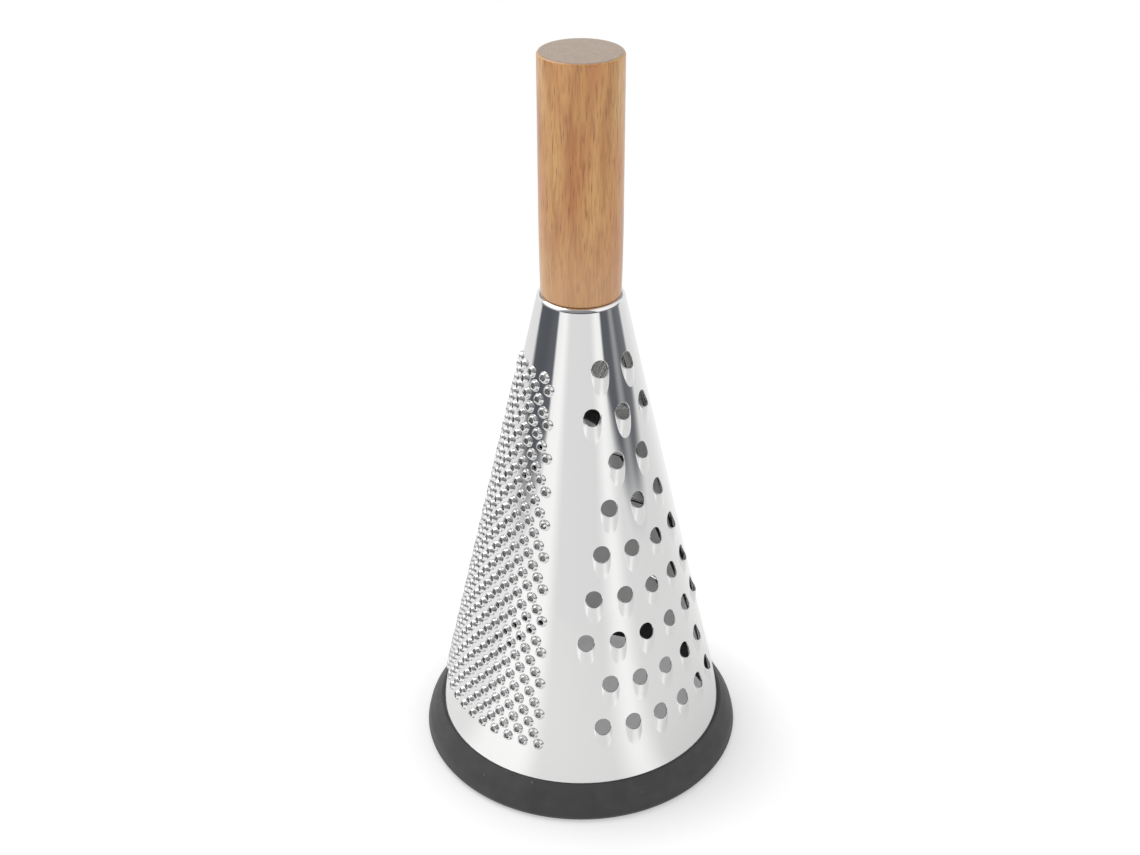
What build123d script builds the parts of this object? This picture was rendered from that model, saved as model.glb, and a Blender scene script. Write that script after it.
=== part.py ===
# Conical cheese grater: a rolled cone of punched stainless sheet, a turned acacia handle
# screwed on from inside, and a rubber ring round the foot.
# Millimetres. +Z is the axis, z = 0 is the table, and -Y is the side between the fine and the coarse teeth.

from build123d import *
from build123d.topology import SkipClean
import os
from math import atan, cos, degrees, radians, sin, tan

os.makedirs("parts", exist_ok=True)

# Cone
shoulder_height = 196.0        # table to the flat land that the handle seats on
shoulder_radius = 15.8         # where the cone's outside line would meet the land
ring_height = 13.4             # table to the top edge of the rubber ring
cone_radius_at_ring = 56.9     # outside of the sheet at the ring's top edge
sheet_thickness = 0.6
shoulder_bend = 1.8            # outside radius of the bend into the land
lap_angle = 9.0                # width of the lap seam, seen along the axis
lap_centre = -133.0            # direction of the lap seam, from the front towards +X
lap_end_margin = 9.0           # plain sheet above and below the lap
seam_line_width = 0.5
seam_line_depth = 0.2

# Handle
handle_length = 88.0
handle_radius = 15.0
handle_foot_radius = 14.6
handle_slim_length = 30.0      # lower stretch over which the handle gets slimmer
handle_top_edge = 1.2
handle_foot_edge = 0.7

# Rubber ring
ring_foot_radius = 63.75
ring_widest_height = 2.2
ring_foot_rounding = 1.6
ring_top_lip = 0.9             # rubber outside the metal at the top edge
ring_side_bulge = 0.7
ring_groove_floor = 5.0        # the metal rim stands on this
ring_inner_height = 10.5
ring_inner_wall = 2.6
ring_fit_gap = 0.1

# Fastening inside the cone
disc_thickness = 1.5
disc_radius = 13.2
disc_skirt_length = 6.0
disc_corner = 1.6
screw_radius = 2.5
screw_length = 20.0
screw_head_radius = 4.75
screw_head_height = 3.5
screw_head_rounding = 1.3
recess_length = 5.2
recess_width = 1.1
recess_depth = 2.0
screw_hole_clearance = 0.25
washer_radius = 5.0
washer_thickness = 1.0
lock_washer_radius = 4.6
lock_washer_thickness = 1.2
lock_washer_split = 1.0
insert_radius = 4.0
insert_length = 14.0
insert_flange_radius = 5.2
insert_flange_thickness = 1.0
insert_fit_gap = 0.05
knurl_count = 16
knurl_width = 0.5
knurl_depth = 0.35
bore_spare_depth = 5.0         # empty bore past the insert, for the screw's tip

# Coarse teeth: round openings with a pressed hood below each
coarse_centre = 43.225         # direction of the zone's middle, from the front towards +X
coarse_lean = -0.018615        # sideways drift of the rows for each millimetre upwards
coarse_first_height = 37.0
coarse_row_step = 17.21
coarse_pitch = 12.2
coarse_row_counts = (6, 5, 6, 5, 4, 3, 2, 3, 2)
coarse_opening_radius = 3.05
coarse_hood_height = 1.8
coarse_hood_radius = 3.75      # round section of the hood, across the tooth
coarse_hood_length = 7.6       # from the lip down to where the hood meets the sheet
coarse_hood_wall = 0.6
coarse_crest_inset = 0.3       # the pressed crest lies this far inside the opening, whose edge is cut through it
hood_root_share = 0.75         # share of the sheet's thickness in which a hood is rooted

# Fine teeth: small craters
fine_centre = -70.0
fine_lean = 0.0185
fine_first_height = 28.2
fine_row_step = 4.17
fine_row_count = 35
fine_pitch = 6.5
fine_bottom_count = 16
fine_rows_per_notch = 3        # the zone's edge steps in by a tooth every so many rows
fine_base_radius = 2.1
fine_height = 1.5
fine_opening_radius = 1.1
fine_side_half_angle = 58.0    # half of the sector of sheet that carries the fine teeth

# Slicing slots, on the far side
slot_centre = 170.0
slot_half_angle = 31.0
slot_first_height = 42.0
slot_row_step = 25.0
slot_row_count = 6
slot_gap = 3.0
slot_lip_height = 2.0
slot_ramp_length = 8.5
slot_wall = 0.6

cut_overrun = 1.0
bite = 0.3                     # how deep a raised tooth is rooted in the sheet

# The cone's line, worked out from the sizes above
cone_slope = (cone_radius_at_ring - shoulder_radius) / (shoulder_height - ring_height)
cone_tilt = atan(cone_slope)
sheet_across = sheet_thickness / cos(cone_tilt)
handle_top = shoulder_height + handle_length
land_underside = shoulder_height - sheet_thickness
screw_hole_radius = screw_radius + screw_hole_clearance


def cone_radius(height):
    """Outside radius of the cone at a height."""
    return shoulder_radius + cone_slope * (shoulder_height - height)


def off_cone(height, up, out):
    """Point (radius, z) that lies up along the cone's line and out from it, seen from a height on it."""
    return (
        cone_radius(height) - up * sin(cone_tilt) + out * cos(cone_tilt),
        height + up * cos(cone_tilt) + out * sin(cone_tilt),
    )


def half_plane(direction):
    """Sketch plane through the axis whose +x side points in a direction from the front towards +X."""
    return Plane(
        origin=(0, 0, 0),
        x_dir=(sin(radians(direction)), -cos(radians(direction)), 0),
        z_dir=(-cos(radians(direction)), -sin(radians(direction)), 0),
    )


def on_sheet(direction, height):
    """Plane on the sheet: x runs round the cone, y up along it, and z out of it."""
    turn = radians(direction)
    return Plane(
        origin=(cone_radius(height) * sin(turn), -cone_radius(height) * cos(turn), height),
        x_dir=(cos(turn), sin(turn), 0),
        z_dir=(cos(cone_tilt) * sin(turn), -cos(cone_tilt) * cos(turn), sin(cone_tilt)),
    )


def row_places(centre, lean, first_height, height, count, pitch):
    """Planes of one row of teeth, spread evenly about the middle of its zone."""
    middle = lean * (height - first_height)
    arcs = [middle + (step - (count - 1) / 2) * pitch for step in range(count)]
    return [on_sheet(centre + degrees(arc / cone_radius(height)), height) for arc in arcs]


coarse_places = []
for row, count in enumerate(coarse_row_counts):
    height = coarse_first_height + row * coarse_row_step
    coarse_places += row_places(coarse_centre, coarse_lean, coarse_first_height, height, count, coarse_pitch)

fine_places = []
for row in range(fine_row_count):
    height = fine_first_height + row * fine_row_step
    count = fine_bottom_count - row // fine_rows_per_notch - row % fine_rows_per_notch
    fine_places += row_places(fine_centre, fine_lean, fine_first_height, height, count, fine_pitch)


def sheet_sector(direction, half_angle):
    """Plain sheet with its land, over an angle on each side of a direction."""
    with BuildPart() as sector:
        with BuildSketch(half_plane(direction - half_angle)):
            with BuildLine():
                Polyline(
                    (cone_radius(ring_groove_floor), ring_groove_floor),
                    (shoulder_radius, shoulder_height),
                    (screw_hole_radius, shoulder_height),
                    (screw_hole_radius, land_underside),
                    (cone_radius(land_underside) - sheet_across, land_underside),
                    (cone_radius(ring_groove_floor) - sheet_across, ring_groove_floor),
                    close=True,
                )
            face = make_face()
            outer_corner = face.vertices().sort_by_distance((shoulder_radius, shoulder_height))[0]
            fillet(outer_corner, radius=shoulder_bend)
        revolve(axis=Axis.Z, revolution_arc=2 * half_angle)
    return sector.part


# One coarse tooth's pressed hood, outside form
hood_axis_depth = coarse_hood_radius - coarse_hood_height
hood_tail = -coarse_opening_radius - coarse_hood_length
hood_head = coarse_hood_wall
hood_crest = coarse_crest_inset - coarse_opening_radius
hood_axis = Axis((0, 0, -hood_axis_depth), (0, 1, 0))
hood_grade = coarse_hood_height / (hood_crest - hood_tail)

with BuildPart() as coarse_hood:
    with BuildSketch(Plane.YZ):
        with BuildLine():
            Polyline(
                (hood_tail, -hood_axis_depth),
                (hood_tail, 0),
                (hood_crest, coarse_hood_height),
                (hood_head, 0),
                (hood_head, -hood_axis_depth),
                close=True,
            )
        make_face()
    revolve(axis=hood_axis)
    split(bisect_by=Plane.XY.offset(-hood_root_share * sheet_thickness), keep=Keep.TOP)

# What one coarse tooth takes away: the hood's hollow and the round opening
with BuildPart() as coarse_relief:
    with BuildSketch(Plane.YZ):
        with BuildLine():
            Polyline(
                (hood_tail - cut_overrun, -hood_axis_depth),
                (hood_tail - cut_overrun, -coarse_hood_wall - hood_grade * cut_overrun),
                (hood_crest, coarse_hood_height - coarse_hood_wall),
                (hood_head, -coarse_hood_wall),
                (hood_head, -hood_axis_depth),
                close=True,
            )
        make_face()
    revolve(axis=hood_axis)
    Cylinder(coarse_opening_radius, 2 * (coarse_hood_height + cut_overrun))

# One fine tooth: a round dome with a bore in its top
dome_radius = (fine_base_radius**2 + fine_height**2) / (2 * fine_height)
dome_centre = fine_height - dome_radius
with BuildPart() as fine_crater:
    with Locations((0, 0, dome_centre)):
        Sphere(dome_radius)
    split(bisect_by=Plane.XY.offset(-bite), keep=Keep.TOP)
    with Locations((0, 0, fine_height)):
        Hole(fine_opening_radius, depth=fine_height - bite / 2)

# The sector of the sheet that carries the fine teeth
with BuildPart() as fine_side:
    add(sheet_sector(fine_centre, fine_side_half_angle), clean=False)
    with Locations(*fine_places):
        add(fine_crater.part, clean=False)

# Sheet on the other side: slicing slots, the seam's lap inside, its line outside, and the coarse teeth
lap_low = ring_inner_height + lap_end_margin
lap_high = land_underside - disc_skirt_length - lap_end_margin
with BuildPart() as coarse_side:
    add(sheet_sector(fine_centre + 180, 180 - fine_side_half_angle), clean=False)
    for row in range(slot_row_count):
        height = slot_first_height + row * slot_row_step
        cheek = degrees(slot_wall / cone_radius(height))
        with BuildSketch(half_plane(slot_centre - slot_half_angle)):
            with BuildLine():
                Polyline(
                    off_cone(height, -slot_gap / 2 - slot_ramp_length, -bite),
                    off_cone(height, -slot_gap / 2 - slot_ramp_length, 0),
                    off_cone(height, -slot_gap / 2, slot_lip_height),
                    off_cone(height, -slot_gap / 2, -bite),
                    close=True,
                )
            make_face()
        revolve(axis=Axis.Z, revolution_arc=2 * slot_half_angle, clean=False)
        with BuildSketch(half_plane(slot_centre - slot_half_angle + cheek)):
            with BuildLine():
                Polyline(
                    off_cone(height, -slot_gap / 2 - slot_ramp_length, -slot_wall - cut_overrun),
                    off_cone(height, -slot_gap / 2 - slot_ramp_length, -slot_wall),
                    off_cone(height, -slot_gap / 2, slot_lip_height - slot_wall),
                    off_cone(height, -slot_gap / 2, slot_lip_height + cut_overrun),
                    off_cone(height, slot_gap / 2, slot_lip_height + cut_overrun),
                    off_cone(height, slot_gap / 2, -slot_wall - cut_overrun),
                    close=True,
                )
            make_face()
        revolve(axis=Axis.Z, revolution_arc=2 * (slot_half_angle - cheek), mode=Mode.SUBTRACT, clean=False)
    with BuildSketch(half_plane(lap_centre - lap_angle / 2)):
        with BuildLine():
            Polyline(
                off_cone(lap_low, 0, -2 * sheet_thickness),
                off_cone(lap_low, 0, -sheet_thickness / 2),
                off_cone(lap_high, 0, -sheet_thickness / 2),
                off_cone(lap_high, 0, -2 * sheet_thickness),
                close=True,
            )
        make_face()
    revolve(axis=Axis.Z, revolution_arc=lap_angle, clean=False)
    with BuildSketch(half_plane(lap_centre)):
        with BuildLine():
            Polyline(
                off_cone(ring_height, 0, -seam_line_depth),
                off_cone(ring_height, 0, cut_overrun),
                off_cone(shoulder_height - 2 * shoulder_bend, 0, cut_overrun),
                off_cone(shoulder_height - 2 * shoulder_bend, 0, -seam_line_depth),
                close=True,
            )
        make_face()
    seam_angle = degrees(seam_line_width / cone_radius_at_ring)
    revolve(axis=Axis.Z, revolution_arc=seam_angle, mode=Mode.SUBTRACT, clean=False)
    with Locations(*coarse_places):
        add(coarse_hood.part, clean=False)
    with Locations(*coarse_places):
        add(coarse_relief.part, mode=Mode.SUBTRACT, clean=False)

# Grater cone: both sides as one sheet. Its faces aren't merged across the lines where the sides meet, because one
# face right round the cone, with all the teeth's edges in it, is no longer closed when it is meshed.
with SkipClean():
    with BuildPart() as grater_cone:
        add(fine_side.part, clean=False)
        add(coarse_side.part, clean=False)
grater_cone.part.label = "grater_cone"
export_step(grater_cone.part, "parts/grater_cone.step", write_pcurves=False)

# Handle: turned, slimmer at the foot, bored from below for the insert
bore_radius = insert_radius + insert_fit_gap
with BuildPart() as handle:
    with BuildSketch(Plane.XZ):
        with BuildLine():
            slim_start = (handle_radius, shoulder_height + handle_slim_length)
            Line((0, handle_top), (handle_radius, handle_top))
            Line((handle_radius, handle_top), slim_start)
            TangentArc(slim_start, (handle_foot_radius, shoulder_height), tangent=(0, -1))
            Line((handle_foot_radius, shoulder_height), (0, shoulder_height))
            Line((0, shoulder_height), (0, handle_top))
        make_face()
    revolve(axis=Axis.Z)
    fillet(handle.edges().filter_by(GeomType.CIRCLE).sort_by(Axis.Z)[-1], radius=handle_top_edge)
    fillet(handle.edges().filter_by(GeomType.CIRCLE).sort_by(Axis.Z)[0], radius=handle_foot_edge)
    with Locations(Plane(origin=(0, 0, shoulder_height), z_dir=(0, 0, -1))):
        CounterBoreHole(
            bore_radius,
            insert_flange_radius + insert_fit_gap,
            insert_flange_thickness,
            depth=insert_length + bore_spare_depth,
        )
handle.part.label = "handle"
export_step(handle.part, "parts/handle.step")

# Base ring: flared rubber foot with a groove that grips the rim of the cone
groove_floor_outside = cone_radius(ring_groove_floor) + ring_fit_gap
groove_floor_inside = cone_radius(ring_groove_floor) - sheet_across - ring_fit_gap
ring_bore_radius = groove_floor_inside - ring_inner_wall
ring_top_inside = cone_radius_at_ring + ring_fit_gap
inner_lip_outside = cone_radius(ring_inner_height) - sheet_across - ring_fit_gap
with BuildPart() as base_ring:
    with BuildSketch(Plane.XZ):
        with BuildLine():
            side_start = (ring_foot_radius, ring_widest_height)
            side_end = (ring_top_inside + ring_top_lip, ring_height)
            Line((ring_bore_radius, 0), (ring_foot_radius - ring_foot_rounding, 0))
            Line((ring_foot_radius - ring_foot_rounding, 0), side_start)
            SagittaArc(side_start, side_end, -ring_side_bulge)
            Polyline(
                side_end,
                (ring_top_inside, ring_height),
                (groove_floor_outside, ring_groove_floor),
                (groove_floor_inside, ring_groove_floor),
                (inner_lip_outside, ring_inner_height),
                (ring_bore_radius, ring_inner_height),
                (ring_bore_radius, 0),
            )
        make_face()
    revolve(axis=Axis.Z)
base_ring.part.label = "base_ring"
export_step(base_ring.part, "parts/base_ring.step")

# Support disc: pressed cup under the land
disc_underside = land_underside - disc_thickness
with BuildPart() as support_disc:
    with BuildSketch(Plane.XY.offset(land_underside - disc_skirt_length)):
        Circle(disc_radius)
    extrude(amount=disc_skirt_length)
    fillet(support_disc.edges().group_by(Axis.Z)[-1], radius=disc_corner)
    with BuildSketch(Plane.XY.offset(land_underside - disc_skirt_length)):
        Circle(disc_radius - disc_thickness)
    extrude(amount=disc_skirt_length - disc_thickness, mode=Mode.SUBTRACT)
    with Locations((0, 0, land_underside)):
        Hole(screw_hole_radius)
support_disc.part.label = "support_disc"
export_step(support_disc.part, "parts/support_disc.step")

# Plain washer under the disc
washer_underside = disc_underside - washer_thickness
with BuildPart() as flat_washer:
    with BuildSketch(Plane.XY.offset(washer_underside)):
        Circle(washer_radius)
        Circle(screw_hole_radius, mode=Mode.SUBTRACT)
    extrude(amount=washer_thickness)
flat_washer.part.label = "flat_washer"
export_step(flat_washer.part, "parts/flat_washer.step")

# Split spring washer, drawn flat as it is when the screw is tight
head_seat = washer_underside - lock_washer_thickness
with BuildPart() as lock_washer:
    with BuildSketch(Plane.XY.offset(head_seat)):
        Circle(lock_washer_radius)
        Circle(screw_hole_radius, mode=Mode.SUBTRACT)
        with Locations((lock_washer_radius, 0)):
            Rectangle(2 * lock_washer_radius, lock_washer_split, mode=Mode.SUBTRACT)
    extrude(amount=lock_washer_thickness)
lock_washer.part.label = "lock_washer"
export_step(lock_washer.part, "parts/lock_washer.step")

# Handle screw: pan head with a cross recess, driven from inside the cone
head_bottom = head_seat - screw_head_height
with BuildPart() as handle_screw:
    with BuildSketch(Plane.XY.offset(head_bottom)):
        Circle(screw_head_radius)
    extrude(amount=screw_head_height)
    fillet(handle_screw.edges().group_by(Axis.Z)[0], radius=screw_head_rounding)
    with BuildSketch(Plane.XY.offset(head_seat)):
        Circle(screw_radius)
    extrude(amount=screw_length)
    with BuildSketch(Plane.XY.offset(head_bottom)):
        Rectangle(recess_length, recess_width)
        Rectangle(recess_width, recess_length)
    extrude(amount=recess_depth, mode=Mode.SUBTRACT)
handle_screw.part.label = "handle_screw"
export_step(handle_screw.part, "parts/handle_screw.step")

# Threaded insert: flanged and knurled, pressed into the handle's bore
with BuildPart() as threaded_insert:
    with BuildSketch(Plane.XY.offset(shoulder_height)):
        Circle(insert_radius)
    extrude(amount=insert_length)
    with BuildSketch(Plane.XY.offset(shoulder_height + insert_flange_thickness)):
        with PolarLocations(insert_radius, knurl_count):
            Rectangle(2 * knurl_depth, knurl_width)
    extrude(amount=insert_length - insert_flange_thickness, mode=Mode.SUBTRACT)
    with BuildSketch(Plane.XY.offset(shoulder_height)):
        Circle(insert_flange_radius)
    extrude(amount=insert_flange_thickness)
    with Locations((0, 0, shoulder_height + insert_length)):
        Hole(screw_radius + insert_fit_gap)
threaded_insert.part.label = "threaded_insert"
export_step(threaded_insert.part, "parts/threaded_insert.step")

print("teeth:", len(coarse_places), "coarse,", len(fine_places), "fine; overall height", handle_top)
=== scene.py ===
from math import atan, cos, pi, radians, sin

import bpy
import numpy as np
from mathutils.geometry import delaunay_2d_cdt
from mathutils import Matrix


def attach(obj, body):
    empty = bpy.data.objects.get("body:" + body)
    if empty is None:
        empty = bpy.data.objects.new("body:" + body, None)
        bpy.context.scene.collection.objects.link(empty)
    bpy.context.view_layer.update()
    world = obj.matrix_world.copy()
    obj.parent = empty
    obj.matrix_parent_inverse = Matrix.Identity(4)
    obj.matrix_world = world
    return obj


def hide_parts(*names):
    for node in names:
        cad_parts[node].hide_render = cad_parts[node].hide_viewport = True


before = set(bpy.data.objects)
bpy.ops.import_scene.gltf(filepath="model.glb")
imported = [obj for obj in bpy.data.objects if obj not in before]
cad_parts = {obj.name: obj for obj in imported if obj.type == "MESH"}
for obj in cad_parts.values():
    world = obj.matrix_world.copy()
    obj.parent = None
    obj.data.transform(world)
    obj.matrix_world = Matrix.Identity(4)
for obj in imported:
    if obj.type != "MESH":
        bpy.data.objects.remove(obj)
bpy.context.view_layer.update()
mm = 0.001
print("frame loaded:", ", ".join(sorted(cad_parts)))


# camera

view = {
    "place": (0.0, -524.59, 444.98),
    "tiltDown": 30.231,
    "lens": 50.88,
    "sensorWidth": 36.0,
    "sideShift": -0.00965,      # the grater stands a little right of the picture's middle
    "nearest": 10.0,
}


def newObject(name, data):
    made = bpy.data.objects.new(name, data)
    bpy.context.scene.collection.objects.link(made)
    return made


cameraData = bpy.data.cameras.new("studioCamera")
cameraData.lens = view["lens"]
cameraData.sensor_width = view["sensorWidth"]
cameraData.shift_x = view["sideShift"]
cameraData.clip_start = view["nearest"] * mm
camera = newObject("studioCamera", cameraData)
camera.location = [length * mm for length in view["place"]]
camera.rotation_euler = (radians(90.0 - view["tiltDown"]), 0.0, 0.0)
bpy.context.scene.camera = camera
bpy.context.scene.view_settings.view_transform = "Standard"
print("camera set")


# meshes

# A profile with rounded corners, each given as (radius, z, rounding): a corner gives way to an arc of its rounding's
# radius that touches both sides. Returns the points (radius, z) and the unit normals, which lie to the right of the
# way along the profile.
def roundedProfile(corners, closed=False, arcStep=12.0):
    corners = np.array(corners, float)
    corners, roundings = corners[:, :2], corners[:, 2]
    points, normals = [], []
    count = len(corners)
    for index in range(count):
        corner, rounding = corners[index], roundings[index]
        before = corners[index - 1] if index or closed else None
        after = corners[(index + 1) % count] if index < count - 1 or closed else None
        if before is None or after is None:
            way = (after - corner) if before is None else (corner - before)
            way = way / np.hypot(*way)
            points.append(corner)
            normals.append((way[1], -way[0]))
            continue
        wayIn = (corner - before) / np.hypot(*(corner - before))
        wayOut = (after - corner) / np.hypot(*(after - corner))
        turn = np.arctan2(wayIn[0] * wayOut[1] - wayIn[1] * wayOut[0], wayIn @ wayOut)
        if abs(turn) < 1e-6:    # the profile runs straight on
            points.append(corner)
            normals.append((wayIn[1], -wayIn[0]))
            continue
        start = corner - wayIn * rounding * np.tan(abs(turn) / 2)
        side = np.sign(turn)
        centre = start + side * rounding * np.array((-wayIn[1], wayIn[0]))
        steps = max(2, int(np.ceil(abs(np.degrees(turn)) / arcStep)))
        for turned in np.linspace(0.0, turn, steps + 1):
            way = np.array((wayIn[0] * np.cos(turned) - wayIn[1] * np.sin(turned),
                            wayIn[0] * np.sin(turned) + wayIn[1] * np.cos(turned)))
            points.append(centre + side * rounding * np.array((way[1], -way[0])))
            normals.append((way[1], -way[0]))
    return np.array(points), np.array(normals)


# Quads of a grid whose columns close on themselves: row r, column c joins the next column and the next row.
def gridFaces(rows, columns, closedRows=False):
    row = np.arange(rows if closedRows else rows - 1)[:, None]
    column = np.arange(columns)[None, :]
    nextRow, nextColumn = (row + 1) % rows, (column + 1) % columns
    quads = np.stack(np.broadcast_arrays(row * columns + column, row * columns + nextColumn,
                                         nextRow * columns + nextColumn, nextRow * columns + column), -1)
    return quads.reshape(-1, 4)


# A profile carried round the Z axis: point (radius, z) at direction a goes to (radius sin a, -radius cos a, z).
def turnedSurface(points, normals, directions, closed=False):
    sines, cosines = np.sin(directions), np.cos(directions)
    places, outward = (np.stack([part[:, :1] * sines, -part[:, :1] * cosines,
                                 np.broadcast_to(part[:, 1:], (len(points), len(sines)))], -1).reshape(-1, 3)
                       for part in (points, normals))
    return places, outward, gridFaces(len(points), len(sines), closedRows=closed)


# Directions spread evenly round the axis.
def allRound(count):
    return np.linspace(0.0, 2 * pi, count, endpoint=False)


# Points that are the same to a hundred thousandth of a millimetre become one, and faces that lose a corner by it
# stay as triangles. Normals that are given are kept, and the others are the mean of the faces round the point.
def weldedMesh(name, points, quads, triangles=None, normals=None, given=None):
    if triangles is None:
        triangles = np.zeros((0, 3), int)
    keys = np.round(points * 1e5).astype(np.int64)
    _, first, group = np.unique(keys, axis=0, return_index=True, return_inverse=True)
    group = group.ravel()
    places = points[first]
    fans = np.concatenate([group[quads][:, [0, 1, 2]], group[quads][:, [0, 2, 3]], group[triangles]])
    corners = places[fans]
    crossed = np.cross(corners[:, 1] - corners[:, 0], corners[:, 2] - corners[:, 0])
    smooth = np.zeros_like(places)
    for corner in range(3):
        np.add.at(smooth, fans[:, corner], crossed)
    smooth /= np.maximum(np.linalg.norm(smooth, axis=1, keepdims=True), 1e-12)
    if given is None:
        given = np.full(len(points), normals is not None)
    if given.any():
        smooth[group[given]] = normals[given]
    faces = []
    for loop in (group[quads], group[triangles]):
        whole = np.all(loop != np.roll(loop, 1, axis=1), axis=1)
        faces += loop[whole].tolist()
        for face in loop[~whole].tolist():
            kept = [vertex for place, vertex in enumerate(face) if vertex != face[place - 1]]
            if len(set(kept)) > 2:
                faces.append(kept)
    mesh = bpy.data.meshes.new(name)
    mesh.from_pydata((places * mm).tolist(), [], faces)
    mesh.polygons.foreach_set("use_smooth", np.ones(len(mesh.polygons), bool))
    mesh.normals_split_custom_set_from_vertices(smooth.tolist())
    mesh.update()
    return mesh


# A new piece, on the one body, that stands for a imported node.
def newPiece(name, mesh, node):
    piece = newObject(name, mesh)
    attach(piece, "root")
    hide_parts(node)


# grater cone

coneSheet = {
    "shoulderHeight": 196.0,
    "shoulderRadius": 15.8,
    "ringHeight": 13.4,         # where the cone leaves the foot ring
    "ringRadius": 56.9,
    "rimHeight": 5.0,
    "thickness": 0.6,
    "bend": 1.8,
    "bendStep": 9.0,
    "screwHole": 2.75,
    "holeEdge": 0.1,
    "columns": 100,
    "rowStep": 5.0,
    "clearance": 1.3,           # from a tooth's edge to the plain sheet's own points
    "seamDirection": -133.0,
    "seamAngle": 0.5,
    "seamDepth": 0.2,
    "lapAngle": 9.0,
    "lapLow": 19.5,
    "lapHigh": 180.4,
    "lapRows": 14,
    "lapColumns": 5,
    "lapSunk": 0.9,             # how deep in the sheet the lap's edges end, as a share of its thickness
}
# Zones of teeth. The lean is how far the zone's middle line moves round, in mm, for each mm of height.
fineTeeth = {
    "centre": -70.0,
    "lean": 0.0185,
    "firstHeight": 28.2,
    "rowStep": 4.17,
    "pitch": 6.5,
    "counts": [16 - row // 3 - row % 3 for row in range(35)],       # teeth in each row, from the foot up
    "rings": (                  # radius and height, from the crater's foot over its lip and through the sheet
        (2.38, 0.0), (2.1, 0.2), (1.84, 0.8), (1.58, 1.22), (1.3, 1.37), (1.06, 1.2), (1.02, 0.2), (2.38, -0.6)),
    "unevenness": 0.1,          # of a crater's place and height
    "heightSpread": (-0.8, 0.35),       # lowest and tallest craters, as shares of that
    "seed": 7,
    "segments": 12,
}
coarseTeeth = {
    "centre": 43.225,
    "lean": -0.018615,
    "firstHeight": 37.0,
    "rowStep": 17.21,
    "pitch": 12.2,
    "counts": (6, 5, 6, 5, 4, 3, 2, 3, 2),
    "opening": 3.05,
    "hoodHeight": 1.45,
    "hoodLength": 7.6,
    "hoodHalfWidth": 3.5,
    "hoodSquareness": 2.3,      # of its outline below: 2 is an ellipse, and more has straighter sides
    "hoodRound": 0.75,          # of its section: 1 is a parabola, and less has a flatter top
    "hoodFall": 1.15,
    "fadeFrom": 0.7,
    "fadeLength": 3.2,
    "edgeRound": 0.18,
    "outerShares": (0.0, 0.16, 0.34, 0.52, 0.7, 0.86, 1.0),     # of the way from the hood's edge to the opening
    "edgeRings": ((0.05, 0.05), (0.18, 0.0), (0.5, 0.0)),       # depth of each, and how far outside the opening
    "innerShares": (0.98, 0.7, 0.34, 0.0),
    "segments": 28,
}
slots = {
    "centre": 170.0,
    "halfAngle": 31.0,
    "firstHeight": 42.0,
    "rowStep": 25.0,
    "rows": 6,
    "gap": 3.0,
    "lipHeight": 2.0,
    "lipFrom": 0.8,             # share of the way across at which the lip is full
    "lipRise": 1.1,
    "lipSquareness": 6,         # how late the lip falls off towards its ends
    "rampLength": 8.5,
    "edgeWidth": 1.2,
    "endRound": 0.55,
    "sideRound": 0.45,
    "outerShares": (0.0, 0.14, 0.3, 0.46, 0.62, 0.78, 0.9, 0.98),
    "edgeDepths": (0.09, 0.5),
    "innerShares": (0.96, 0.7, 0.36, 0.0),
    "segments": 56,
}

thickness = coneSheet["thickness"]
slope = ((coneSheet["ringRadius"] - coneSheet["shoulderRadius"])
         / (coneSheet["shoulderHeight"] - coneSheet["ringHeight"]))
tilt = atan(slope)
sinTilt, cosTilt = sin(tilt), cos(tilt)
apexHeight = coneSheet["shoulderHeight"] + coneSheet["shoulderRadius"] / slope


# Distance from the cone's apex, down its side, of a height on the outside.
def slantAt(height):
    return (apexHeight - height) / cosTilt


# A point of the sheet: direction round the axis, slant distance from the apex, and distance out of the sheet.
# Radius = slant sin(tilt) + out cos(tilt), height = apex - slant cos(tilt) + out sin(tilt).
def sheetPoint(direction, slant, out):
    direction, slant, out = np.broadcast_arrays(direction, slant, out)
    radius = slant * sinTilt + out * cosTilt
    return np.stack([radius * np.sin(direction), -radius * np.cos(direction),
                     apexHeight - slant * cosTilt + out * sinTilt], -1)


# The plain sheet's normal: square to its side and tilted up, or the opposite way inside.
def sheetNormal(direction, side):
    return side * np.stack([cosTilt * np.sin(direction), -cosTilt * np.cos(direction),
                            np.full_like(direction, sinTilt)], -1)


# Local x round the cone and y up it, at a tooth, become direction and slant: the sheet is unrolled flat, where the
# slant is the distance from the apex and the angle there is the direction times sin(tilt).
def unrolledPlace(x, y, direction, slant):
    return direction + np.arctan2(x, slant - y) / sinTilt, np.hypot(slant - y, x)


# Directions and slants of the rows of a zone of teeth, spread evenly about the zone's middle line.
def toothRows(zone):
    directions, slants = [], []
    for row, count in enumerate(zone["counts"]):
        height = zone["firstHeight"] + row * zone["rowStep"]
        radius = slantAt(height) * sinTilt
        middle = zone["lean"] * (height - zone["firstHeight"])
        arcs = middle + (np.arange(count) - (count - 1) / 2) * zone["pitch"]
        directions.append(radians(zone["centre"]) + arcs / radius)
        slants.append(np.full(count, slantAt(height)))
    return np.concatenate(directions)[:, None, None], np.concatenate(slants)[:, None, None]


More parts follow.
